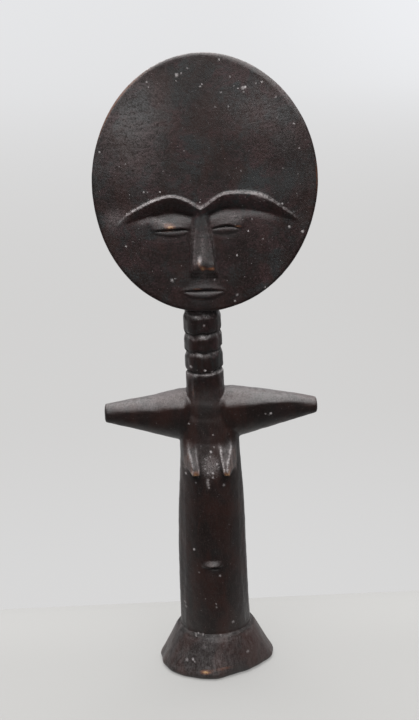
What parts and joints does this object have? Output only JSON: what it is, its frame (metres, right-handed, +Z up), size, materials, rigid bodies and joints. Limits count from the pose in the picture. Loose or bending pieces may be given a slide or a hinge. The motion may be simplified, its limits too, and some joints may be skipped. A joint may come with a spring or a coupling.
{
  "type": "akuaba figure",
  "caption": "Carved wooden figure with a flat oval head, low-relief face, ringed neck, stub arms, column body and flared foot that stands by its own weight.",
  "frame": {"origin": "centre of the foot's flat underside", "axes": "+Z up along the column, the face looks towards -Y, and +X is on the right of someone facing the figure"},
  "size_m": [0.1227, 0.0618, 0.3512],
  "materials": {
    "stained_wood": "satin"
  },
  "bodies": {
    "root": {"akuaba_figure": "stained_wood"}
  },
  "joints": []
}
